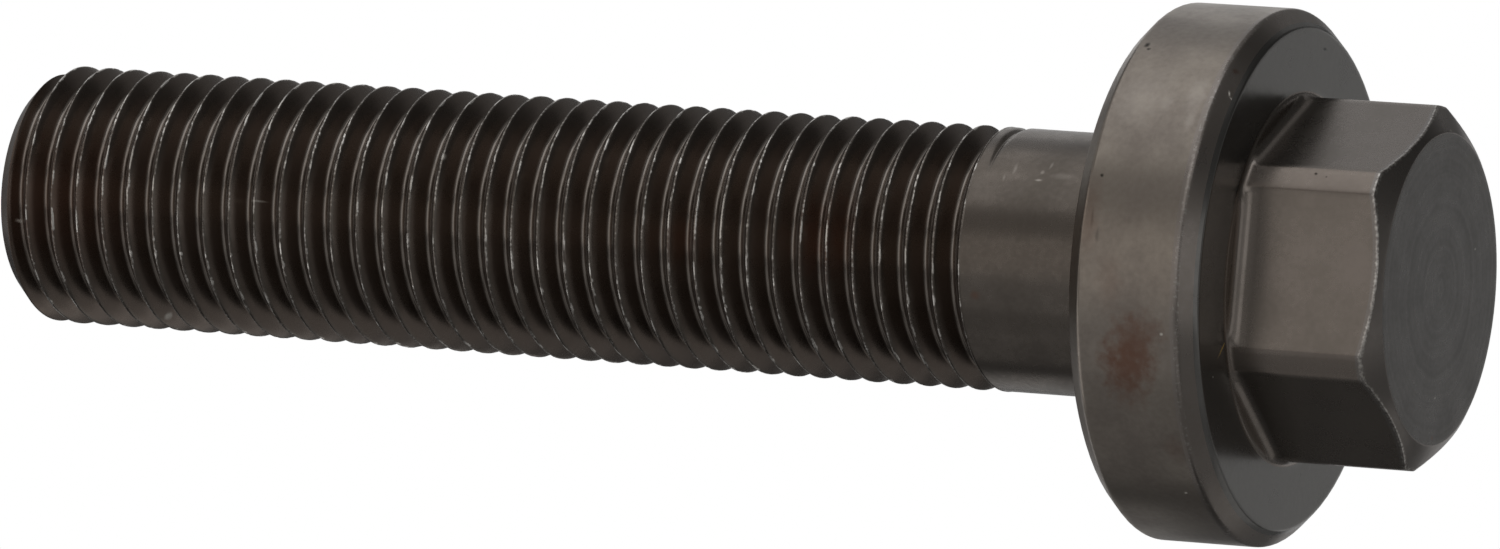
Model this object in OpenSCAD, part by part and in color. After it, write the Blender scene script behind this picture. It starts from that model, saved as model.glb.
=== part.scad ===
// Hex flange bolt, turned and milled from one bar, with a rolled right-hand thread.
// It stands on its head: the end face of the hexagon lies on z = 0 and the thread points up.

/* [Hexagon] */
// Width across the six milled flats
hex_across_flats = 16.9; // [16:0.1:17.6]
// Diameter of the turned blank, left as a narrow round strip at each corner
hex_blank_d = 18.8; // [18.2:0.1:19.4]
// Height of the hexagon, from its end face to the flange
hex_height = 8; // [5:0.1:12]
// Diameter of the flat circle inside the end chamfer
hex_end_d = 16.1; // [14:0.1:16.6]
// Angle between the end chamfer and the end face, in degrees
hex_end_angle = 30; // [15:1:40]
// Radius that the milling cutter leaves between a flat and the flange
hex_root_r = 0.6; // [0.3:0.05:1]
// Radius that the turning tool leaves at the foot of the corner strips
blank_root_r = 0.3; // [0.1:0.05:0.8]

/* [Flange] */
// Outer diameter of the flange
flange_d = 27.8; // [24:0.1:34]
// Thickness of the flange
flange_thickness = 7.1; // [3:0.1:10]
// Chamfer on the rim at the side of the hexagon
flange_front_chamfer = 0.9; // [0.2:0.05:1.3]
// Chamfer on the rim at the bearing side
flange_back_chamfer = 0.8; // [0.2:0.05:1.3]

/* [Shank] */
// Length from the bearing face of the flange to the tip
under_head_length = 64.8; // [40:0.1:100]
// Diameter of the plain length between the flange and the thread
shank_d = 13.7; // [13:0.05:13.75]
// Length of that plain part, to where the thread groove begins
plain_length = 7.6; // [3:0.1:20]
// Radius in the corner between the bearing face and the shank
shank_root_r = 0.4; // [0.1:0.05:0.8]

/* [Thread] */
// Diameter over the crests of the thread
thread_d = 13.76; // [13.76:0.02:14]
// Distance from one crest to the next
thread_pitch = 1.5; // [1.2:0.05:2]
// Depth of the groove
thread_depth = 0.92; // [0.6:0.02:1]
// Width of the flat top of a crest
crest_flat = 0.19; // [0.1:0.01:0.25]
// Width of the flat bottom of the groove
root_flat = 0.25; // [0.1:0.01:0.3]
// Turns over which the groove grows to its full depth next to the plain length
runout_turns = 1; // [0.5:0.1:3]
// Turn of the thread about the axis, in degrees
thread_phase = 75; // [0:5:355]
// Diameter of the flat end of the tip, inside its chamfer
tip_d = 11.7; // [10:0.1:11.9]
// Straight pieces in each turn of the thread
thread_sides = 24; // [16:2:28]

/* [Hidden] */
$fn = 96;

flat_count = 6;
flat_step = 360 / flat_count;
blank_r = hex_blank_d / 2;
flat_r = hex_across_flats / 2;
// The cutter runs past the blank on all sides
cut_w = 2 * hex_blank_d;
cut_over = 1;
hex_end_chamfer_h = (blank_r - hex_end_d / 2) * tan(hex_end_angle);

bearing_z = hex_height + flange_thickness;
tip_z = bearing_z + under_head_length;
thread_z = bearing_z + plain_length;
shank_start_z = bearing_z - flange_thickness / 2;

thread_r = thread_d / 2;
// The core ties the plain length to the thread, well inside its grooves
core_d = thread_d - 4 * thread_depth;
core_reach = 2 * thread_pitch;
// The first ring of the thread lies this far inside the end of the plain length
start_inset = 0.05;
start_r = shank_d / 2 - start_inset;
tip_r = tip_d / 2;
flank_width = (thread_pitch - crest_flat - root_flat) / 2;
// Height of each edge of the thread profile above the start of its crest
profile_z = [0, crest_flat, crest_flat + flank_width, crest_flat + flank_width + root_flat];
profile_depth = [0, 0, 1, 1];
profile_last = len(profile_z) - 1;
// The groove grows from this height above the end of the plain length
thread_lead_in = 0.2;
// Below this distance from the tip the turns crowd together and end on the chamfer
tip_crowding = 1;
thread_steps = ceil((tip_z - thread_z) / thread_pitch * thread_sides);

// Height on the chamfered tip for a height on the endless thread
function crowded(z) =
    z < tip_z - tip_crowding ? z : tip_z - tip_crowding * exp((tip_z - tip_crowding - z) / tip_crowding);

// Radius of the 45 degree chamfer of the tip at a height
function tip_cone_r(z) = tip_r + tip_z - z;

// Share of the full groove depth at a step along the thread
function runout(step) = min(1, (step + 1) / (runout_turns * thread_sides));

// Point on a circle, at a step around it
function ring_point(r, step, z) =
    let (angle = thread_phase + step * 360 / thread_sides)
    [r * cos(angle), r * sin(angle), z];

// Corner number edge of the thread profile, at a step along the thread
function thread_point(step, edge) =
    let (z = crowded(thread_z + thread_lead_in + step * thread_pitch / thread_sides + profile_z[edge]))
    ring_point(min(thread_r - thread_depth * profile_depth[edge] * runout(step), tip_cone_r(z)), step, z);

// Places of the points in the list of the thread's solid
function thread_index(step, edge) = step * len(profile_z) + edge;
base_ring = (thread_steps + 1) * len(profile_z);
tip_ring = base_ring + thread_sides;
function base_index(step) = base_ring + step % thread_sides;
function tip_index(step) = tip_ring + step % thread_sides;

module thread() {
    last_turn = thread_steps - thread_sides;
    points = concat(
        [for (step = [0 : thread_steps]) for (edge = [0 : profile_last]) thread_point(step, edge)],
        [for (step = [0 : thread_sides - 1]) ring_point(start_r, step, thread_z)],
        [for (step = [0 : thread_sides - 1]) ring_point(tip_r, step, tip_z)]
    );
    // Crest, lower flank and root, between the edges of one profile
    ribbons = [for (step = [0 : thread_steps - 1]) for (edge = [0 : profile_last - 1])
        [thread_index(step, edge), thread_index(step, edge + 1),
         thread_index(step + 1, edge + 1), thread_index(step + 1, edge)]];
    // Upper flank, from the root to the crest one turn on
    joins = [for (step = [0 : last_turn - 1])
        [thread_index(step, profile_last), thread_index(step + thread_sides, 0),
         thread_index(step + thread_sides + 1, 0), thread_index(step + 1, profile_last)]];
    // Band from the base ring up to the first turn, whose last face also closes the start of the groove
    base_band = [for (step = [0 : thread_sides - 2])
        [base_index(step), thread_index(step, 0), thread_index(step + 1, 0), base_index(step + 1)]];
    base_close = concat(
        [thread_index(thread_sides - 1, 0), thread_index(thread_sides, 0)],
        [for (edge = [profile_last : -1 : 0]) thread_index(0, edge)],
        [base_index(0), base_index(thread_sides - 1)]
    );
    // Band from the last turn up to the tip ring, whose first face also closes the end of the groove
    tip_close = concat(
        [thread_index(last_turn + 1, profile_last), thread_index(last_turn, profile_last)],
        [for (edge = [0 : profile_last]) thread_index(thread_steps, edge)],
        [tip_index(thread_steps), tip_index(last_turn + 1)]
    );
    tip_band = [for (step = [last_turn + 1 : thread_steps - 1])
        [thread_index(step, profile_last), tip_index(step), tip_index(step + 1),
         thread_index(step + 1, profile_last)]];
    base_cap = [[for (step = [0 : thread_sides - 1]) base_index(step)]];
    tip_cap = [[for (step = [thread_sides - 1 : -1 : 0]) tip_index(step)]];
    color("#3a302b")
        polyhedron(
            points = points,
            faces = concat(ribbons, joins, base_band, [base_close], [tip_close], tip_band, base_cap, tip_cap)
        );
}

// Concave fillet in a corner, with the square corner of the metal at the origin
module fillet_profile(r) {
    difference() {
        translate([0, -r])
            square(r);
        translate([r, -r])
            circle(r = r);
    }
}

// Blank of the hexagon, turned round, with its end chamfer and the tool's radius at its foot.
// It runs on into the flange, so that the flats end on the face of the flange.
module hex_blank() {
    rotate_extrude() {
        polygon([
            [0, 0], [hex_end_d / 2, 0], [blank_r, hex_end_chamfer_h],
            [blank_r, hex_height + flange_thickness / 2], [0, hex_height + flange_thickness / 2]
        ]);
        translate([blank_r, hex_height])
            fillet_profile(blank_root_r);
    }
}

// What the cutter takes away to make one flat, on the +X side, with its rounded corner at the foot
module flat_cut() {
    translate([flat_r, cut_w / 2, hex_height])
        rotate([90, 0, 0])
            linear_extrude(cut_w)
                difference() {
                    translate([0, -hex_height - cut_over])
                        square([blank_r, hex_height + cut_over]);
                    fillet_profile(hex_root_r);
                }
}

module hexagon() {
    color("#8d837c")
        difference() {
            hex_blank();
            // The first flat looks along -Y
            for (flat = [0 : flat_count - 1])
                rotate([0, 0, flat * flat_step - 90])
                    flat_cut();
        }
}

module flange() {
    color("#7d746c")
        rotate_extrude()
            polygon([
                [0, hex_height],
                [flange_d / 2 - flange_front_chamfer, hex_height],
                [flange_d / 2, hex_height + flange_front_chamfer],
                [flange_d / 2, bearing_z - flange_back_chamfer],
                [flange_d / 2 - flange_back_chamfer, bearing_z],
                [0, bearing_z]
            ]);
}

// Plain length, with the small fillet that joins it to the bearing face. It begins inside the flange,
// and its core goes on into the thread.
module shank() {
    color("#6b625d") {
        translate([0, 0, shank_start_z])
            cylinder(d = shank_d, h = thread_z - shank_start_z);
        translate([0, 0, shank_start_z])
            cylinder(d = core_d, h = thread_z + core_reach - shank_start_z);
        rotate_extrude()
            translate([shank_d / 2, bearing_z])
                mirror([0, 1])
                    fillet_profile(shank_root_r);
    }
}

module bolt() {
    union() {
        hexagon();
        flange();
        shank();
        thread();
    }
}

bolt();
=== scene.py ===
"""Hex flange bolt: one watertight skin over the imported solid, with its blackened and oiled steel finishes.

The bolt stands on the end face of its hexagon, z = 0, and the thread points up. Sizes are in millimetres
and are turned to metres when the mesh is written.
"""

import math

import bpy
import numpy as np
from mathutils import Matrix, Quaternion, Vector


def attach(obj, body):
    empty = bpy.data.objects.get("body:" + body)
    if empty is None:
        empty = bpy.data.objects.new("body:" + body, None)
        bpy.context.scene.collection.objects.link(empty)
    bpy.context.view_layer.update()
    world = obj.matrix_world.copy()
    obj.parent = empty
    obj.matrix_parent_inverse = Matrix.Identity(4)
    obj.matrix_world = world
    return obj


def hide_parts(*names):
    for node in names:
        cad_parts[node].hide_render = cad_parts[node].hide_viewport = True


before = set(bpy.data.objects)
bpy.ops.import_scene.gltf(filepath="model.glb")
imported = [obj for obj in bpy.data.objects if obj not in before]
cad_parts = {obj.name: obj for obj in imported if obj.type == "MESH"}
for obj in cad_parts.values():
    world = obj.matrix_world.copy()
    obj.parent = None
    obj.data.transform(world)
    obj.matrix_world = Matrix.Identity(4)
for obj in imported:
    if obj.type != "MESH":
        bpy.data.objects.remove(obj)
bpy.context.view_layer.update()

MM = 0.001

# Hexagon
HEX_ACROSS_FLATS = 16.9
HEX_BLANK_D = 18.8
HEX_HEIGHT = 8.0
HEX_END_D = 16.1
HEX_END_ANGLE = math.radians(30)
HEX_ROOT_R = 0.6
BLANK_ROOT_R = 0.3
# The cutter stopped this far above the flange, which leaves a thin crescent at the foot of each flat
HEX_LEDGE = 0.07
FLAT_STEP = math.radians(60)

# Flange
FLANGE_D = 27.8
FLANGE_THICKNESS = 7.1
FRONT_CHAMFER = 0.9
BACK_CHAMFER = 0.8

# Shank and thread
UNDER_HEAD_LENGTH = 64.8
SHANK_D = 13.7
SHANK_ROOT_R = 0.4
PLAIN_LENGTH = 7.6
THREAD_D = 13.76
THREAD_PITCH = 1.5
THREAD_DEPTH = 0.92
CREST_FLAT = 0.1
ROOT_FLAT = 0.2
# Height of a crest's middle at angle 0, which sets the turn of the thread
CREST_START = 0.28
# The groove's middle has this height where it begins to show, and is at full depth this many turns on
RUNOUT_Z = 23.3
RUNOUT_TURNS = 0.5
TIP_D = 11.7

BEARING_Z = HEX_HEIGHT + FLANGE_THICKNESS
THREAD_Z = BEARING_Z + PLAIN_LENGTH
TIP_Z = BEARING_Z + UNDER_HEAD_LENGTH
LEDGE_Z = HEX_HEIGHT - HEX_LEDGE

# Angle from the middle of a flat to the round strip beside it
BLANK_EDGE = math.acos(HEX_ACROSS_FLATS / HEX_BLANK_D)

# Sharp edges of turned and milled steel are broken by this much
EDGE_BREAK = 0.07


def column_angles():
    """Angles of the mesh's columns about the axis: the same set in each sixth of a turn, from one corner of the
    hexagon to the next, crowded beside the two edges where a flat meets the round corner strip. They begin at the
    back, so that the step between the last column and the first lies there."""
    edge = math.degrees(BLANK_EDGE)
    half = np.array([0, 4.4, 8.8, 13.1, 17.2, 20.7, 23.6, edge - 0.35, edge + 0.35, 28.0])
    sector = np.radians(np.concatenate([-half[:0:-1], half, [30.0]]))
    turn = np.concatenate([sector + k * FLAT_STEP + math.pi / 2 for k in range(6)])
    return turn


THETA = column_angles()
COLUMNS = len(THETA)
# Angle from the middle of the nearest flat
FLAT_ANGLE = (THETA + math.pi / 2 + FLAT_STEP / 2) % FLAT_STEP - FLAT_STEP / 2

# Height of a crest's middle at the first column, below where the groove begins to show
HELIX_Z = CREST_START + THREAD_PITCH * THETA[0] / (2 * math.pi)
HELIX_Z += math.floor((THREAD_Z - HELIX_Z) / THREAD_PITCH - 0.5) * THREAD_PITCH


def arc_offset(depth, radius):
    """How far a fillet of a radius stands out at a depth above where it begins: r - sqrt(r^2 - depth^2)."""
    d = np.clip(depth, 0, radius)
    return radius - np.sqrt(radius**2 - d**2)


def blank_radius(z):
    """Radius of the round blank at a height, with the turning tool's fillet at its foot."""
    return HEX_BLANK_D / 2 + arc_offset(z - (HEX_HEIGHT - BLANK_ROOT_R), BLANK_ROOT_R)


def side_radius(z):
    """Radius of the hexagon's side at a height: the lesser of the flat's plane over the cosine of the angle from
    its middle, with the cutter's fillet at its foot, and the round blank."""
    flat = HEX_ACROSS_FLATS / 2 + arc_offset(z - (LEDGE_Z - HEX_ROOT_R), HEX_ROOT_R)
    return np.minimum(flat / np.cos(FLAT_ANGLE), blank_radius(z))


def along(a, b, shares):
    """Rows between two rows, at shares of the way."""
    return [a + (b - a) * s for s in shares]


def broken(before, corner, after, size, steps=3):
    """Rows over a broken edge: a quadratic curve that leaves one face and meets the next at a size from the corner."""
    u = corner - before
    v = after - corner
    start = corner - u * (size / np.linalg.norm(u, axis=-1, keepdims=True))
    end = corner + v * (size / np.linalg.norm(v, axis=-1, keepdims=True))
    t = np.linspace(0, 1, steps + 1)
    return [start * (1 - s) ** 2 + corner * 2 * s * (1 - s) + end * s**2 for s in t]


def row(radius, z):
    """One row of the mesh: a radius and a height for every column."""
    return np.stack(np.broadcast_arrays(radius * np.ones(COLUMNS), z), axis=-1).astype(float)


def head_rows():
    """Rows from the middle of the end face over the chamfer, the sides, the fillet, the flange and the bearing face
    to the shank. Each is a radius and a height per column. Also gives the finish of each row, and its edge wear, which
    is partly a painted glint along the edge."""
    rows, finish, wear_and_glint = [], [], []

    def put(new, kind, worn_and_glinting=0.0):
        rows.extend(new)
        finish.extend([kind] * len(new))
        wear_and_glint.extend([worn_and_glinting] * len(new))

    end_r = HEX_END_D / 2
    slope = math.tan(HEX_END_ANGLE)
    side = side_radius(0.0)
    centre = row(0.6, 0.0)
    end_circle = row(end_r, 0.0)
    scallop = row(side, (side - end_r) * slope)
    foot = row(side, LEDGE_Z - HEX_ROOT_R)
    put([centre] + along(centre, end_circle, [0.2, 0.4, 0.6, 0.75, 0.88, 0.96]), "end")
    # The wear given to the broken edges below is partly a painted glint along each edge
    put(broken(centre, end_circle, scallop, 0.05), "chamfer", 0.3)
    put(along(end_circle, scallop, [0.3, 0.5, 0.7]), "chamfer")
    put(broken(end_circle, scallop, foot, EDGE_BREAK, 4), "chamfer", 0.92)
    put(along(scallop, foot, [0.04, 0.2, 0.4, 0.6, 0.8, 0.94]), "flat")
    for a in np.radians([0, 14, 28, 40, 51, 61, 70, 78, 84]):
        z = LEDGE_Z - HEX_ROOT_R + HEX_ROOT_R * math.sin(a)
        put([row(side_radius(z), z)], "flat")
    put([row(side_radius(LEDGE_Z), LEDGE_Z)], "flat")
    # The crescent of the blank's fillet between the cutter's floor and the flange
    ledge = [row(blank_radius(z), z) for z in LEDGE_Z + HEX_LEDGE * np.array([0.12, 0.4, 0.7, 0.9])]
    put(ledge, "flat", 0.3)
    root = row(blank_radius(HEX_HEIGHT), HEX_HEIGHT)
    face_edge = row(FLANGE_D / 2 - FRONT_CHAMFER, HEX_HEIGHT)
    rim_front = row(FLANGE_D / 2, HEX_HEIGHT + FRONT_CHAMFER)
    rim_back = row(FLANGE_D / 2, BEARING_Z - BACK_CHAMFER)
    back_edge = row(FLANGE_D / 2 - BACK_CHAMFER, BEARING_Z)
    shank_foot = row(SHANK_D / 2, BEARING_Z)
    thread_start = row(SHANK_D / 2, HELIX_Z - 0.15)
    put([root], "face")
    put(along(root, face_edge, [0.08, 0.3, 0.55, 0.8, 0.93]), "face")
    put(broken(root, face_edge, rim_front, 0.1), "face", 0.2)
    put(along(face_edge, rim_front, [0.25, 0.5, 0.75]), "front chamfer")
    put(broken(face_edge, rim_front, rim_back, 0.16, 4), "front chamfer", 0.55)
    put(along(rim_front, rim_back, [0.06, 0.2, 0.4, 0.6, 0.8, 0.94]), "rim")
    put(broken(rim_front, rim_back, back_edge, 0.16, 4), "rim", 0.4)
    put(along(rim_back, back_edge, [0.25, 0.5, 0.75]), "rim")
    put(broken(rim_back, back_edge, shank_foot, 0.1), "rim", 0.2)
    put(along(back_edge, shank_foot, [0.07, 0.3, 0.6, 0.85]), "face")
    put(broken(back_edge, shank_foot, thread_start, SHANK_ROOT_R, 6), "shank")
    put(along(shank_foot, thread_start, [0.12, 0.3, 0.5, 0.7, 0.9, 1.0]), "shank")
    return rows, finish, wear_and_glint


def thread_profile():
    """One pitch of the thread from crest to crest: heights from the crest's middle and depths below it. The flanks
    stand at 60 degrees to each other, and the crest's edges and the root are a little rounded."""
    half = THREAD_PITCH / 2
    crest = CREST_FLAT / 2
    root = half - ROOT_FLAT / 2
    flank = root - crest
    height = np.array([0, crest * 0.7, crest + 0.03 * flank, crest + 0.12 * flank, crest + 0.5 * flank,
                       crest + 0.86 * flank, root - 0.02 * flank, (root + half) / 2, half])
    depth = THREAD_DEPTH * np.array([0.006, 0, 0.03, 0.115, 0.435, 0.86, 0.94, 0.985, 1])
    height = np.concatenate([height, THREAD_PITCH - height[-2:0:-1]])
    depth = np.concatenate([depth, depth[-2:0:-1]])
    return height, depth


PROFILE_HEIGHT, PROFILE_DEPTH = thread_profile()
PROFILE_POINTS = len(PROFILE_HEIGHT)


def thread_rows():
    """Rows that follow the helix. A row climbs one pitch in a turn, so a column's height is its row's height plus
    pitch * angle / turn. The depth is read from the profile at the true height, the run-out next to the shank lifts
    the groove out of the metal, and the tip's 45 degree cone cuts it. Near the tip the rows crowd together and level out."""
    # The angle is measured from the first column, so that the step between last and first column is one pitch
    turned = (THETA - THETA[0]) / (2 * math.pi)
    crowd = 1.3
    turns = int(math.ceil((TIP_Z - HELIX_Z) / THREAD_PITCH)) + 2
    base = HELIX_Z + (np.arange(turns)[:, None] * THREAD_PITCH + PROFILE_HEIGHT[None]).ravel()
    raw = base[:, None] + THREAD_PITCH * turned[None]
    late = TIP_Z - crowd
    z = np.where(raw < late, raw, TIP_Z - crowd * np.exp(np.minimum((late - raw) / crowd, 0)))
    climbed = (z - HELIX_Z) - THREAD_PITCH * turned[None]
    phase = np.mod(climbed + 1e-9, THREAD_PITCH)
    depth = np.interp(phase, np.append(PROFILE_HEIGHT, THREAD_PITCH), np.append(PROFILE_DEPTH, PROFILE_DEPTH[0]))
    groove_z = z - phase + THREAD_PITCH / 2
    share = np.clip((groove_z - RUNOUT_Z) / (RUNOUT_TURNS * THREAD_PITCH), 0, 1)
    crest_r = SHANK_D / 2 + (THREAD_D - SHANK_D) / 2 * share
    depth = np.maximum(depth - (1 - share) * THREAD_DEPTH, 0)
    radius = crest_r - depth
    cone = TIP_D / 2 + TIP_Z - z
    # Crest share: where the crests' wear and painted glints are laid
    crest = np.clip(1 - depth / (0.1 * THREAD_DEPTH), 0, 1) * share * (cone > radius)
    root = np.clip(depth / THREAD_DEPTH, 0, 1) * share
    return np.minimum(radius, cone), z, crest, root


FINISHES = ["end", "chamfer", "flat", "strip", "face", "front chamfer", "rim", "shank", "tip"]


def bolt_mesh():
    """Puts the head's rows, the helical rows and the tip's end into one closed mesh. Point (row, column) lies at
    radius * cos(angle), radius * sin(angle), height. Rows join their neighbours with four-sided faces. Between the
    last and the first column the helical rows are joined one pitch apart, and one many-sided face closes the step
    at each end of the helix."""
    rows, finish, wear_and_glint = head_rows()
    head = np.stack(rows)
    helix_r, helix_z, crest, groove = thread_rows()
    tip = [row(TIP_D / 2, TIP_Z), row(TIP_D / 2 - 0.3, TIP_Z), row(TIP_D / 4, TIP_Z), row(0.6, TIP_Z)]
    tip = np.stack(tip)
    radius = np.concatenate([head[..., 0], helix_r, tip[..., 0]])
    height = np.concatenate([head[..., 1], helix_z, tip[..., 1]])
    head_n, helix_n, tip_n = len(head), len(helix_r), len(tip)

    random = np.random.default_rng(14)
    nick = random.random(helix_r.shape) ** 14 * crest * 0.035
    waver = (random.random(helix_r.shape) - 0.5) * 0.008 * crest
    radius[head_n:head_n + helix_n] -= nick + np.abs(waver)
    # Wear and painted glints on the crests come in dashes: a few bright ones, and little between them
    glint_dash = random.random((helix_n // PROFILE_POINTS + 1, COLUMNS)).repeat(PROFILE_POINTS, axis=0)[:helix_n]
    crest = crest * (0.6 + 2.2 * glint_dash ** 12)

    points = np.empty((len(radius), COLUMNS, 3))
    points[..., 0] = radius * np.cos(THETA)
    points[..., 1] = radius * np.sin(THETA)
    points[..., 2] = height
    points = np.concatenate([points.reshape(-1, 3), [[0, 0, 0], [0, 0, TIP_Z]]]) * MM
    base_pole, tip_pole = len(points) - 2, len(points) - 1

    index = np.arange(len(radius) * COLUMNS).reshape(-1, COLUMNS)

    def band(below, above, closed=True):
        """Four-sided faces between rows and the rows after them."""
        near = [below[:, :-1], below[:, 1:], above[:, 1:], above[:, :-1]]
        quads = np.stack([q.ravel() for q in near], axis=-1)
        if closed:
            last = [below[:, -1], below[:, 0], above[:, 0], above[:, -1]]
            quads = np.concatenate([quads, np.stack(last, axis=-1)])
        return quads

    finish_of = {name: k for k, name in enumerate(FINISHES)}
    row_finish = np.array([finish_of[f] for f in finish])

    quads, kinds = [], []

    def keep(new, kind):
        quads.append(new)
        kinds.append(np.broadcast_to(kind, len(new)))

    # Between the flats the round strips of the blank have their own finish
    on_strip = np.abs(FLAT_ANGLE) > BLANK_EDGE
    next_strip = on_strip | np.roll(on_strip, -1)
    for k in range(head_n - 1):
        kind = np.where(next_strip & (row_finish[k] == finish_of["flat"]), finish_of["strip"], row_finish[k])
        keep(band(index[k:k + 1], index[k + 1:k + 2]), kind)
    helix = index[head_n:head_n + helix_n]
    keep(band(helix[:-1], helix[1:], closed=False), finish_of["shank"])
    step = PROFILE_POINTS
    seam = [helix[:-1 - step, -1], helix[step:-1, 0], helix[step + 1:, 0], helix[1:-step, -1]]
    keep(np.stack(seam, axis=-1), finish_of["shank"])
    ring = index[head_n - 1]
    keep(band(ring[None], helix[:1], closed=False), finish_of["shank"])
    keep(band(helix[-1:], index[head_n + helix_n:head_n + helix_n + 1], closed=False), finish_of["shank"])
    for k in range(head_n + helix_n, len(index) - 1):
        keep(band(index[k:k + 1], index[k + 1:k + 2]), finish_of["tip"])
    quads = np.concatenate(quads)
    kinds = np.concatenate(kinds)

    # Many-sided faces: the two steps of the helix, and the fans round the poles
    tip_ring = index[head_n + helix_n]
    open_step = [ring[-1], ring[0]] + list(helix[:step + 1, 0]) + [helix[0, -1]]
    shut_step = [helix[-1, 0], tip_ring[0], tip_ring[-1]] + list(helix[-1:-2 - step:-1, -1])
    fans = [[base_pole, int(b), int(a)] for a, b in zip(index[0], np.roll(index[0], -1))]
    fans += [[tip_pole, int(a), int(b)] for a, b in zip(index[-1], np.roll(index[-1], -1))]
    odd = [[int(i) for i in open_step], [int(i) for i in shut_step]] + fans
    odd_kinds = [finish_of["shank"]] * 2 + [finish_of["end"]] * COLUMNS + [finish_of["tip"]] * COLUMNS

    mesh = bpy.data.meshes.new("bolt")
    mesh.from_pydata(points.tolist(), [], quads.tolist() + odd)
    mesh.polygons.foreach_set("material_index", np.concatenate([kinds, odd_kinds]).astype(np.int32))
    mesh.polygons.foreach_set("use_smooth", np.ones(len(mesh.polygons), bool))

    # Edge wear, partly painted glints on the edges and crests, and groove depth as attributes, which the finishes read
    worn_and_glinting = np.concatenate([np.repeat(np.array(wear_and_glint)[:, None], COLUMNS, 1), crest, np.zeros((tip_n, COLUMNS))])
    sunk = np.concatenate([np.zeros((head_n, COLUMNS)), groove, np.zeros((tip_n, COLUMNS))])
    for name, values in (("edge_wear_and_glint", worn_and_glinting), ("groove", sunk)):
        attribute = mesh.attributes.new(name, "FLOAT", "POINT")
        attribute.data.foreach_set("value", np.append(values.ravel(), [0, 0]).astype(np.float32))
    mesh.validate()
    mesh.update()
    return mesh


def linear(code):
    """An sRGB hex colour as linear red, green, blue and alpha."""
    channels = [int(code[k:k + 2], 16) / 255 for k in (1, 3, 5)]
    return [c / 12.92 if c <= 0.04045 else ((c + 0.055) / 1.055) ** 2.4 for c in channels] + [1.0]


def add(tree, kind, inputs=None, **settings):
    """Adds a node. Inputs maps a socket's name or number to a value or to another node's output."""
    made = tree.nodes.new(kind)
    for name, value in settings.items():
        setattr(made, name, value)
    for socket, value in (inputs or {}).items():
        if isinstance(value, bpy.types.NodeSocket):
            tree.links.new(value, made.inputs[socket])
        else:
            made.inputs[socket].default_value = value
    return made


def per(size):
    """Scale of a pattern on object coordinates, whose features are a size in millimetres."""
    return 1 / (size * MM)


# Sizes of what shows on the blackened and oiled steel
CLOUD = 2.6
GRAIN = 0.3
GRAIN_SHARE = 0.5
GRAIN_DEPTH = 0.0002
SCUFF = 0.18
WANDER = 0.5
RING_WOBBLE = 0.8

BARE_STEEL_GLINT = "#e4dfd8"
# Colours in the thread's groove: a painted shade over the flanks, and a lighter root that is partly a painted
# highlight
FLANK_PAINTED_SHADE = "#736860"
ROOT_TONE_AND_HIGHLIGHT = "#958c84"
ROOT_SHINE = 0.2
# Lighter rubbed patches, partly a painted highlight where they lie on the lit sides
RUST = "#7a5341"
RUBBED_AND_HIGHLIGHT = "#c2bab2"
DIRT = "#1d1a18"
LINT = "#ddd8ce"
FIBRE = "#c09a3a"


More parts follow.
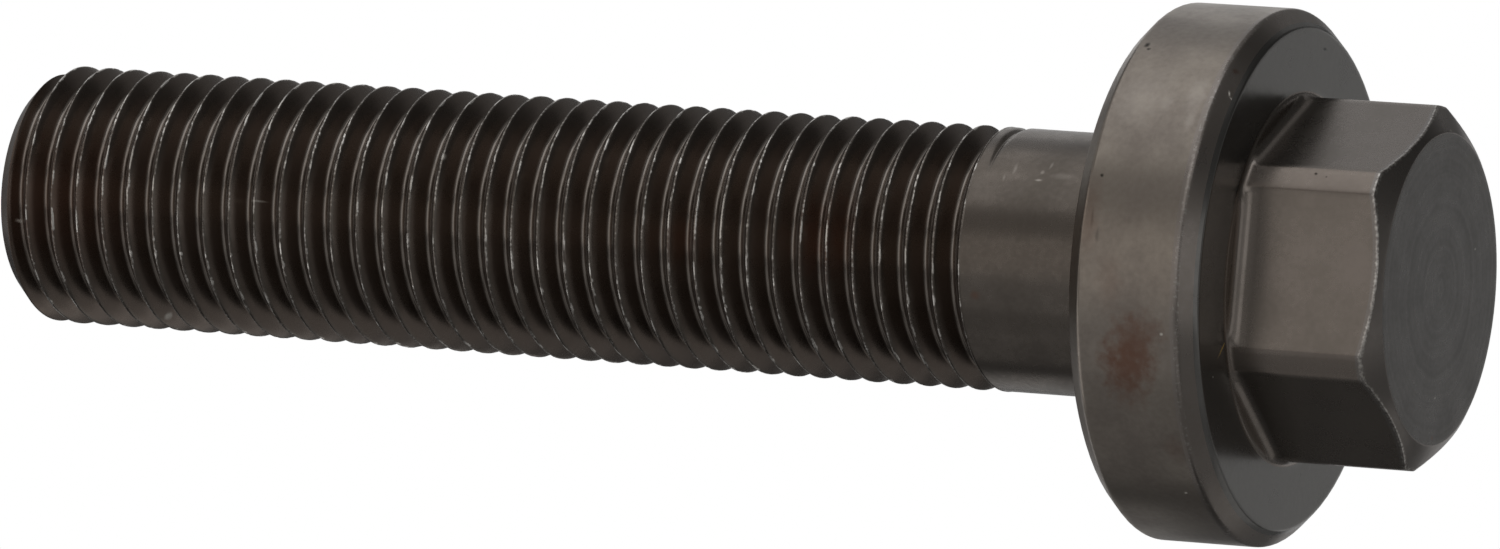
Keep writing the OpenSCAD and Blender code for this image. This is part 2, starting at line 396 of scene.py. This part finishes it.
def steel(name, dark, light, roughness, marks, mark_gap, mark_depth, streak=0.0, spots=(), threaded=False):
    """Blackened steel under a thin oil film. Clouds, grain and the streaks of the tool mix a dark and a light tone,
    tool marks run round the axis or in rings on a face, and the worn edges show bare steel with a painted glint. Spots
    are a place, three half widths, a turn about Z, a colour, its share and how matt it is."""
    material = bpy.data.materials.new(name)
    material.use_nodes = True
    tree = material.node_tree
    tree.nodes.clear()
    place = add(tree, "ShaderNodeTexCoord").outputs["Object"]
    cloud = add(tree, "ShaderNodeTexNoise", {"Vector": place, "Scale": per(CLOUD), "Detail": 3.0}).outputs["Fac"]
    grain = add(tree, "ShaderNodeTexNoise", {"Vector": place, "Scale": per(GRAIN), "Detail": 2.0}).outputs["Fac"]
    scuff = add(tree, "ShaderNodeTexNoise", {"Vector": place, "Scale": per(SCUFF), "Detail": 1.0}).outputs["Fac"]

    if marks == "face":
        # Rings: a noise read along the distance from the axis, which wobbles a little
        flat = add(tree, "ShaderNodeVectorMath", {0: place, 1: (1, 1, 0)}, operation="MULTIPLY")
        length = add(tree, "ShaderNodeVectorMath", {0: flat.outputs["Vector"]}, operation="LENGTH").outputs["Value"]
        bent = add(tree, "ShaderNodeMath", {0: cloud, 1: RING_WOBBLE * MM, 2: length}, operation="MULTIPLY_ADD")
        along_marks = add(tree, "ShaderNodeCombineXYZ", {0: bent.outputs[0]}).outputs[0]
    else:
        # Hoops: a noise squeezed to a fiftieth across the axis
        along_marks = add(tree, "ShaderNodeMapping", {"Vector": place, "Scale": (0.02, 0.02, 1.0)}).outputs[0]
    lines = add(tree, "ShaderNodeTexNoise", {"Vector": along_marks, "Scale": per(mark_gap), "Detail": 2.0}).outputs["Fac"]

    mottled = add(tree, "ShaderNodeMath", {0: grain, 1: GRAIN_SHARE, 2: cloud}, operation="MULTIPLY_ADD").outputs[0]
    streaked = add(tree, "ShaderNodeMath", {0: lines, 1: streak, 2: mottled}, operation="MULTIPLY_ADD").outputs[0]
    middle = (1 + GRAIN_SHARE + streak) / 2
    tone = add(tree, "ShaderNodeMapRange", {0: streaked, 1: middle - 0.22, 2: middle + 0.22}).outputs[0]
    colour = add(tree, "ShaderNodeMix", {0: tone, 6: linear(dark), 7: linear(light)}, data_type="RGBA").outputs[2]
    shine = add(tree, "ShaderNodeMapRange", {0: tone, 3: roughness + 0.04, 4: roughness - 0.04}).outputs[0]
    metal = 1.0

    if threaded:
        # The flanks take a colour of their own from just below the crest, a painted shade for their slight rounding;
        # rolling leaves the root smoother, and its lighter colour is partly a painted highlight
        sunk = add(tree, "ShaderNodeAttribute", attribute_name="groove").outputs["Fac"]
        below = add(tree, "ShaderNodeMapRange", {0: sunk, 1: 0.03, 2: 0.2}).outputs[0]
        above = add(tree, "ShaderNodeMapRange", {0: sunk, 1: 0.86, 2: 0.98, 3: 1.0, 4: 0.0}).outputs[0]
        flank = add(tree, "ShaderNodeMath", {0: below, 1: above}, operation="MULTIPLY").outputs[0]
        root = add(tree, "ShaderNodeMapRange", {0: sunk, 1: 0.86, 2: 0.98}).outputs[0]
        colour = add(tree, "ShaderNodeMix", {0: root, 6: colour, 7: linear(ROOT_TONE_AND_HIGHLIGHT)}, data_type="RGBA").outputs[2]
        colour = add(tree, "ShaderNodeMix", {0: flank, 6: colour, 7: linear(FLANK_PAINTED_SHADE)},
                     data_type="RGBA").outputs[2]
        shine = add(tree, "ShaderNodeMix", {0: root, 2: shine, 3: ROOT_SHINE}).outputs[0]

    if spots:
        wander = add(tree, "ShaderNodeTexNoise", {"Vector": place, "Scale": per(WANDER), "Detail": 3.0}).outputs["Color"]
        shift = add(tree, "ShaderNodeVectorMath", {0: wander, 1: (0.5, 0.5, 0.5)}, operation="SUBTRACT").outputs[0]
        for centre, half, turn, tint, share, matt in spots:
            reach = 1.3 * min(half) * MM
            moved = add(tree, "ShaderNodeVectorMath", {0: shift, 1: (reach,) * 3, 2: place},
                        operation="MULTIPLY_ADD").outputs[0]
            own = add(tree, "ShaderNodeMapping", {
                "Vector": moved, "Location": Vector(centre) * MM, "Rotation": (0, 0, math.radians(turn)),
                "Scale": Vector(half) * MM}, vector_type="TEXTURE").outputs[0]
            away = add(tree, "ShaderNodeVectorMath", {0: own}, operation="LENGTH").outputs["Value"]
            inside = add(tree, "ShaderNodeMapRange", {0: away, 1: 1.05, 2: 0.1, 3: 0.0, 4: share},
                         interpolation_type="SMOOTHSTEP").outputs[0]
            colour = add(tree, "ShaderNodeMix", {0: inside, 6: colour, 7: linear(tint)},
                         data_type="RGBA").outputs[2]
            if matt:
                bare = add(tree, "ShaderNodeMath", {0: inside, 1: -matt, 2: 1.0}, operation="MULTIPLY_ADD").outputs[0]
                metal = add(tree, "ShaderNodeMath", {0: metal, 1: bare}, operation="MULTIPLY").outputs[0]

    # Bare steel on the worn edges and crests, which also paints a glint along them
    worn_and_glinting = add(tree, "ShaderNodeAttribute", attribute_name="edge_wear_and_glint").outputs["Fac"]
    rubbed_and_glinting = add(tree, "ShaderNodeMath", {0: worn_and_glinting, 1: scuff}, operation="MULTIPLY").outputs[0]
    bare = add(tree, "ShaderNodeMapRange", {0: rubbed_and_glinting, 1: 0.3, 2: 0.65}).outputs[0]
    colour = add(tree, "ShaderNodeMix", {0: bare, 6: colour, 7: linear(BARE_STEEL_GLINT)}, data_type="RGBA").outputs[2]

    pitted = add(tree, "ShaderNodeBump", {"Height": grain, "Distance": GRAIN_DEPTH * MM}).outputs[0]
    relief = add(tree, "ShaderNodeBump", {"Height": lines, "Distance": mark_depth * MM, "Normal": pitted}).outputs[0]
    shader = add(tree, "ShaderNodeBsdfPrincipled", {
        "Base Color": colour, "Metallic": metal, "Roughness": shine, "Normal": relief})
    add(tree, "ShaderNodeOutputMaterial", {0: shader.outputs[0]})
    return material


END_SPOTS = [
    ((2.43, 4.48, 0), (0.09, 0.09, 0.09), 0, LINT, 1.0, 1.0),
    ((-5.55, 0.67, 0), (0.09, 0.09, 0.09), 0, LINT, 1.0, 1.0),
    ((-7.6, 0.74, 0), (0.2, 0.2, 0.2), 0, RUST, 0.6, 0.5),
]
CHAMFER_SPOTS = [
    ((8.15, -0.32, 0), (0.09, 0.09, 0.3), 0, LINT, 1.0, 1.0),
]
STRIP_SPOTS = [
    ((4.98, -7.97, 4.2), (0.12, 0.12, 0.12), 0, DIRT, 0.9, 0.0),
    ((4.87, -8.04, 3.6), (0.07, 0.07, 0.07), 0, DIRT, 0.7, 0.0),
]
FACE_SPOTS = [
    ((12.03, 1.31, 8), (0.1, 0.35, 0.2), 0, DIRT, 0.95, 0.5),
    ((-4.26, -9.12, 8), (0.98, 0.09, 0.2), 41, FIBRE, 1.0, 1.0),
    ((-5.78, -9.99, 8), (0.08, 0.08, 0.2), 0, LINT, 0.9, 1.0),
]
FRONT_CHAMFER_SPOTS = [
    ((8.63, -10.24, 8.39), (0.26, 0.07, 0.2), 18, LINT, 1.0, 1.0),
    ((8.36, -10.25, 8.22), (0.18, 0.07, 0.2), -30, LINT, 1.0, 1.0),
    ((8.34, -10.05, 8.08), (0.22, 0.07, 0.2), 65, LINT, 1.0, 1.0),
    ((9.81, -9.3, 8.52), (0.3, 0.3, 0.3), 0, RUST, 0.5, 0.0),
]
# The lighter rubbed patches on the rim's upper side are partly a painted highlight; the rest are rust, dirt and lint
RIM_SPOTS = [
    ((-5.5, -12.77, 11.6), (2.9, 2.9, 1.9), 0, RUST, 0.8, 0.2),
    ((-4.0, -13.3, 10.7), (1.6, 1.6, 1.5), 0, RUST, 0.45, 0.0),
    ((8.2, -11.22, 12.9), (2.6, 2.6, 2.0), 0, RUBBED_AND_HIGHLIGHT, 0.2, 0.0),
    ((8.4, -11.08, 9.8), (1.6, 1.6, 0.7), 0, RUBBED_AND_HIGHLIGHT, 0.3, 0.0),
    ((7.05, -11.98, 9.7), (0.8, 0.8, 0.35), 0, RUBBED_AND_HIGHLIGHT, 0.3, 0.0),
    ((7.9, -11.4, 11.3), (0.7, 0.7, 0.4), 0, RUBBED_AND_HIGHLIGHT, 0.2, 0.0),
    ((10.96, -8.55, 13.83), (0.3, 0.3, 0.2), 0, DIRT, 0.9, 0.0),
    ((10.75, -8.8, 13.6), (0.15, 0.15, 0.15), 0, DIRT, 0.8, 0.0),
    ((3.88, -13.35, 13.67), (0.14, 0.14, 0.14), 0, DIRT, 0.9, 0.0),
    ((1.64, -13.8, 13.81), (0.7, 0.4, 0.12), 0, DIRT, 0.3, 0.0),
    ((0.8, -13.88, 13.43), (0.5, 0.4, 0.15), 0, DIRT, 0.3, 0.0),
    ((1.9, -13.76, 14.0), (2.6, 2.0, 0.7), 0, RUST, 0.25, 0.0),
    ((-1.5, -13.8, 12.6), (2.0, 2.0, 0.9), 0, RUST, 0.15, 0.0),
    ((-9.6, -10.05, 9.7), (1.2, 1.2, 0.8), 0, RUST, 0.2, 0.0),
    ((-3.95, -13.33, 9.68), (0.12, 0.12, 0.12), 0, LINT, 0.9, 1.0),
    ((-11.67, -7.56, 9.89), (0.12, 0.12, 0.12), 0, LINT, 0.8, 1.0),
]
# The lighter rubbed flecks on the shank's upper side below the thread are partly a painted highlight; the rest are
# rust and lint
SHANK_SPOTS = [
    ((4.3, -5.33, 20.3), (0.18, 0.18, 0.16), 0, RUBBED_AND_HIGHLIGHT, 0.4, 0.0),
    ((3.88, -5.65, 20.38), (0.1, 0.1, 0.28), 0, RUBBED_AND_HIGHLIGHT, 0.6, 0.0),
    ((4.7, -4.98, 20.0), (0.35, 0.35, 0.1), 0, RUBBED_AND_HIGHLIGHT, 0.3, 0.0),
    ((4.17, -5.44, 19.1), (0.3, 0.3, 0.9), 0, RUBBED_AND_HIGHLIGHT, 0.15, 0.0),
    ((4.4, -5.25, 21.9), (0.5, 0.5, 0.12), 0, RUBBED_AND_HIGHLIGHT, 0.3, 0.0),
    ((3.9, -5.63, 22.3), (0.3, 0.3, 0.1), 0, RUBBED_AND_HIGHLIGHT, 0.25, 0.0),
    ((-2.3, -6.45, 22.98), (0.35, 0.35, 0.35), 0, RUST, 0.4, 0.0),
    ((0.3, -6.4, 31.6), (3.2, 2.0, 2.6), 0, RUST, 0.35, 0.0),
    ((-0.5, -6.4, 39.7), (2.2, 1.5, 1.6), 0, RUST, 0.25, 0.0),
    ((-1.0, -6.2, 76.5), (6.0, 3.0, 7.0), 0, RUST, 0.22, 0.0),
    ((2.97, -6.15, 54.0), (0.24, 0.4, 0.24), 0, LINT, 1.0, 0.8),
    ((-6.35, -1.95, 71.2), (0.4, 0.4, 0.3), 0, LINT, 1.0, 0.8),
    ((-1.95, -5.9, 78.7), (0.16, 0.5, 0.22), 0, LINT, 1.0, 0.8),
    ((-4.72, -4.9, 78.9), (0.2, 0.3, 0.2), 0, LINT, 0.8, 0.8),
    ((0.47, -6.8, 35.97), (0.16, 0.4, 0.16), 0, LINT, 0.9, 0.8),
    ((-0.05, -6.6, 64.4), (0.08, 0.6, 1.3), 0, LINT, 0.5, 0.8),
]

bolt = bpy.data.objects.new("bolt_skin", bolt_mesh())
bpy.context.scene.collection.objects.link(bolt)
finishes = {
    "end": steel("turned end face", "#6d6a67", "#7c7976", 0.3, "face", 0.45, 0.002, 1.0, END_SPOTS),
    "chamfer": steel("turned end chamfer", "#928c87", "#9a938e", 0.3, "face", 0.15, 0.002, 0.0, CHAMFER_SPOTS),
    "flat": steel("milled flats", "#8c847c", "#958c85", 0.28, "round", 0.25, 0.0005),
    "strip": steel("turned corner strips", "#8f857d", "#978d85", 0.28, "round", 0.25, 0.0005, 0.0, STRIP_SPOTS),
    "face": steel("turned flange face", "#878582", "#8e8c89", 0.24, "face", 0.2, 0.001, 0.0, FACE_SPOTS),
    "front chamfer": steel("turned flange chamfer", "#968e87", "#9d958f", 0.3, "face", 0.15, 0.001, 0.0,
                           FRONT_CHAMFER_SPOTS),
    "rim": steel("turned rim", "#8f867e", "#a2998f", 0.32, "round", 0.25, 0.002, 0.0, RIM_SPOTS),
    "shank": steel("plain shank and rolled thread", "#6c655e", "#7c746d", 0.28, "round", 0.3, 0.001, 0.0,
                   SHANK_SPOTS, threaded=True),
    "tip": steel("sheared tip", "#6a625c", "#7b726b", 0.4, "face", 0.3, 0.003),
}
for kind in FINISHES:
    bolt.data.materials.append(finishes[kind])
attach(bolt, "root")
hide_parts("bolt")

# Camera: it stands a little below the head's end face and looks up at it, turned so that the bolt lies across
CAMERA_AIM = Vector((-1.740, 0, 38.586)) * MM
CAMERA_DISTANCE = 685.8 * MM
CAMERA_AZIMUTH = math.radians(-2.881)
CAMERA_ELEVATION = math.radians(-24.037)
CAMERA_ROLL = math.radians(85.951)
CAMERA_LENS = 314.33


def add_camera():
    """Places the camera at a distance from its aim, on the line with its azimuth and elevation, and rolls it."""
    data = bpy.data.cameras.new("camera")
    data.lens = CAMERA_LENS
    data.sensor_width = 36
    data.clip_start, data.clip_end = 0.05, 20
    camera = bpy.data.objects.new("camera", data)
    bpy.context.scene.collection.objects.link(camera)
    level = math.cos(CAMERA_ELEVATION)
    back = Vector((math.sin(CAMERA_AZIMUTH) * level, -math.cos(CAMERA_AZIMUTH) * level, math.sin(CAMERA_ELEVATION)))
    camera.location = CAMERA_AIM + back * CAMERA_DISTANCE
    camera.rotation_mode = "QUATERNION"
    upright = (-back).to_track_quat("-Z", "Y")
    camera.rotation_quaternion = Quaternion(-back, CAMERA_ROLL) @ upright
    bpy.context.scene.camera = camera
    return camera


camera = add_camera()

# Studio
LIGHTS = [
    # name, direction from the bolt, radiance, colour; +X is up in the photo's view, and -Z is right
    ("back panel", (0, 0.91, 0.41), 0.34, "#ffffff"),
    ("back low panel", (-0.46, 0.79, 0.41), 0.03, "#ffffff"),
    ("low panel", (-0.91, 0, 0.41), 0.145, "#ffffff"),
    ("low front panel", (-0.79, -0.46, 0.41), 0.135, "#ffffff"),
    ("front low panel", (-0.46, -0.79, 0.41), 0.24, "#ffffff"),
    ("front softbox", (0, -0.91, 0.41), 0.42, "#fffaf5"),
    ("front high panel", (0.46, -0.79, 0.41), 0.17, "#fffaf5"),
    ("top front softbox", (0.79, -0.46, 0.41), 0.6, "#ffffff"),
    ("top softbox", (0.91, 0, 0.41), 0.6, "#ffffff"),
    ("top back panel", (0.79, 0.46, 0.41), 0.35, "#f8fbff"),
    ("backdrop", (0.46, 0.79, 0.41), 0.54, "#ffffff"),
    ("back side panel", (0, 0.99, -0.1), 0.41, "#ffffff"),
    ("back low side panel", (-0.58, 0.8, -0.1), 0.06, "#ffffff"),
    ("low front side panel", (-0.95, -0.31, -0.1), 0.1, "#ffffff"),
    ("front low side panel", (-0.58, -0.8, -0.1), 0.18, "#ffffff"),
    ("camera side softbox", (0, -0.99, -0.1), 0.46, "#ffffff"),
    ("front high side softbox", (0.58, -0.8, -0.1), 0.58, "#ffffff"),
    ("top front side softbox", (0.95, -0.31, -0.1), 0.8, "#f8fbff"),
    ("top back side panel", (0.95, 0.31, -0.1), 0.13, "#ffffff"),
    ("back high side panel", (0.58, 0.8, -0.1), 0.13, "#ffffff"),
    ("back right panel", (0, 0.84, -0.55), 0.13, "#ffffff"),
    ("low back right panel", (-0.59, 0.59, -0.55), 0.22, "#ffffff"),
    ("low right panel", (-0.84, 0, -0.55), 0.12, "#ffffff"),
    ("low front right panel", (-0.59, -0.59, -0.55), 0.2, "#ffffff"),
    ("front right softbox", (0, -0.84, -0.55), 0.24, "#ffffff"),
    ("top front right softbox", (0.59, -0.59, -0.55), 0.35, "#ffffff"),
    ("top right panel", (0.84, 0, -0.55), 0.09, "#ffffff"),
    ("left top panel", (0.57, 0, 0.82), 0.32, "#ffffff"),
    ("left back panel", (0.18, 0.54, 0.82), 0.2, "#ffffff"),
    ("left low back softbox", (-0.46, 0.34, 0.82), 0.4, "#f8fbff"),
    ("left low front softbox", (-0.46, -0.34, 0.82), 0.8, "#ffffff"),
    ("left front softbox", (0.18, -0.54, 0.82), 0.5, "#fffaf5"),
    ("far right back panel", (0, 0.39, -0.92), 0.14, "#ffffff"),
    ("far right low panel", (-0.39, 0, -0.92), 0.11, "#ffffff"),
    ("far right front softbox", (0, -0.39, -0.92), 0.33, "#ffffff"),
]
LIGHT_DISTANCE = 0.5
LIGHT_SIZE = 0.27
AIM = Vector((0, 0, 30)) * MM

# White cards close under the bolt, which light its lower edge: where each one's middle is along the bolt, its length
# along it and its radiance
CARDS = [
    ("shank card", 48, 0.016, 0.36),
    ("thread card", 90, 0.066, 0.1),
]
CARD_DIRECTION = (-0.7, 0.71, 0)
CARD_DISTANCE = 0.07
CARD_WIDTH = 0.045


def add_light(name, direction, radiance, colour="#ffffff", aim=AIM, distance=LIGHT_DISTANCE,
              size=(LIGHT_SIZE, LIGHT_SIZE)):
    """Places a softbox or card that faces the bolt. Its power is radiance * pi * area."""
    data = bpy.data.lights.new(name, "AREA")
    data.shape = "RECTANGLE"
    data.size, data.size_y = size
    data.color = linear(colour)[:3]
    data.energy = radiance * math.pi * size[0] * size[1]
    light = bpy.data.objects.new(name, data)
    back = Vector(direction).normalized()
    light.location = aim + back * distance
    light.rotation_mode = "QUATERNION"
    light.rotation_quaternion = (-back).to_track_quat("-Z", "Y")
    bpy.context.scene.collection.objects.link(light)
    return light


for setting in LIGHTS:
    add_light(*setting)
for name, middle, length, radiance in CARDS:
    add_light(name, CARD_DIRECTION, radiance, aim=Vector((0, 0, middle)) * MM, distance=CARD_DISTANCE,
              size=(CARD_WIDTH, length))

world = bpy.data.worlds.new("studio")
bpy.context.scene.world = world
world.use_nodes = True
sky = world.node_tree
sky.nodes.clear()
ray = add(sky, "ShaderNodeLightPath").outputs["Is Camera Ray"]
air = add(sky, "ShaderNodeBackground", {"Color": (1, 1, 1, 1), "Strength": 0.045})
white = add(sky, "ShaderNodeBackground", {"Color": (1, 1, 1, 1), "Strength": 1.0})
both = add(sky, "ShaderNodeMixShader", {0: ray, 1: air.outputs[0], 2: white.outputs[0]})
add(sky, "ShaderNodeOutputWorld", {0: both.outputs[0]})

floor_mesh = bpy.data.meshes.new("floor")
floor_mesh.from_pydata([(-4, -4, -1.3), (4, -4, -1.3), (4, 4, -1.3), (-4, 4, -1.3)], [], [(0, 1, 2, 3)])
floor = bpy.data.objects.new("floor", floor_mesh)
bpy.context.scene.collection.objects.link(floor)
# Matt white paint. The lights hardly reach it, so it is given its pale tone where the camera sees it directly
paint = bpy.data.materials.new("matt white paint")
paint.use_nodes = True
coat = paint.node_tree
coat.nodes.clear()
matt = add(coat, "ShaderNodeBsdfPrincipled", {"Base Color": linear("#e8e8e6"), "Roughness": 0.8})
pale = add(coat, "ShaderNodeEmission", {"Color": linear("#f1f1ef")})
seen = add(coat, "ShaderNodeLightPath").outputs["Is Camera Ray"]
surface = add(coat, "ShaderNodeMixShader", {0: seen, 1: matt.outputs[0], 2: pale.outputs[0]})
add(coat, "ShaderNodeOutputMaterial", {0: surface.outputs[0]})
floor_mesh.materials.append(paint)

bpy.context.scene.view_settings.view_transform = "Standard"
